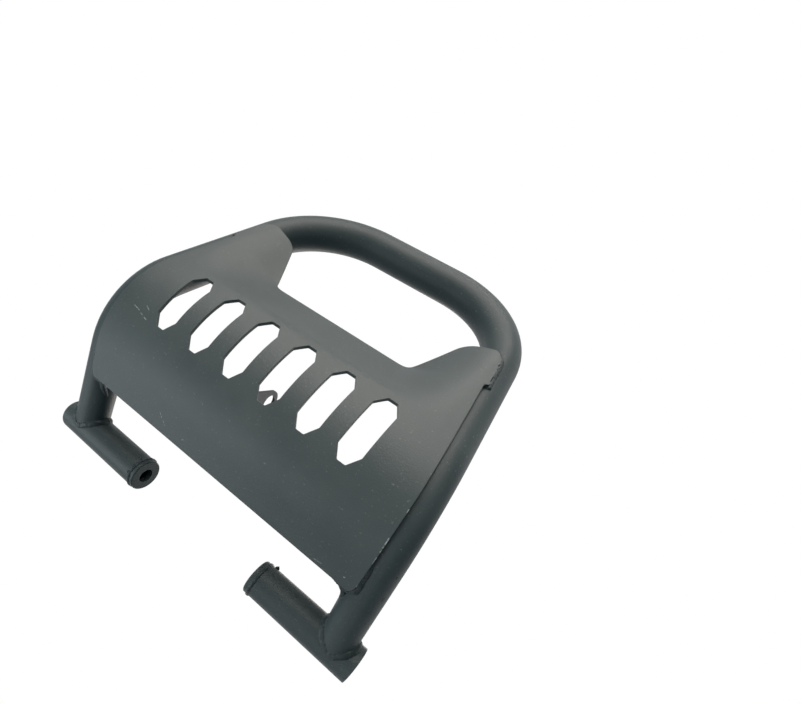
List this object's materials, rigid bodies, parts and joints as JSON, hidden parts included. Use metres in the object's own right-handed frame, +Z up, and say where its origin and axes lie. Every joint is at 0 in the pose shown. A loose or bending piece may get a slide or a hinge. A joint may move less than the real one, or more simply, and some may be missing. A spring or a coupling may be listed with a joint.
{
  "type": "atv front bumper",
  "caption": "Welded front bumper for a quad bike: bent tube hoop with a rolled, slotted skid plate between its legs and cross sleeves at the feet for the frame bolts.",
  "frame": {"origin": "middle of the bolt axis, on the vehicle's centre plane, halfway between the two mounting discs", "axes": "+X across the vehicle along the bolt axis, -Y forward so the plate faces -Y, +Z up along the upper hoop"},
  "size_m": [0.2588, 0.1146, 0.2389],
  "materials": {
    "tube_coat": "satin black powder coat",
    "plate_coat": "satin black powder coat",
    "weld_coat": "satin black powder coat over rough welds"
  },
  "bodies": {
    "root": {"hoop_tube": "tube_coat", "skid_plate": "plate_coat", "sleeve_left": "tube_coat", "sleeve_right": "tube_coat", "end_disc_left": "tube_coat", "end_disc_right": "tube_coat", "rear_tab": "plate_coat", "weld_beads": "weld_coat"}
  },
  "joints": []
}
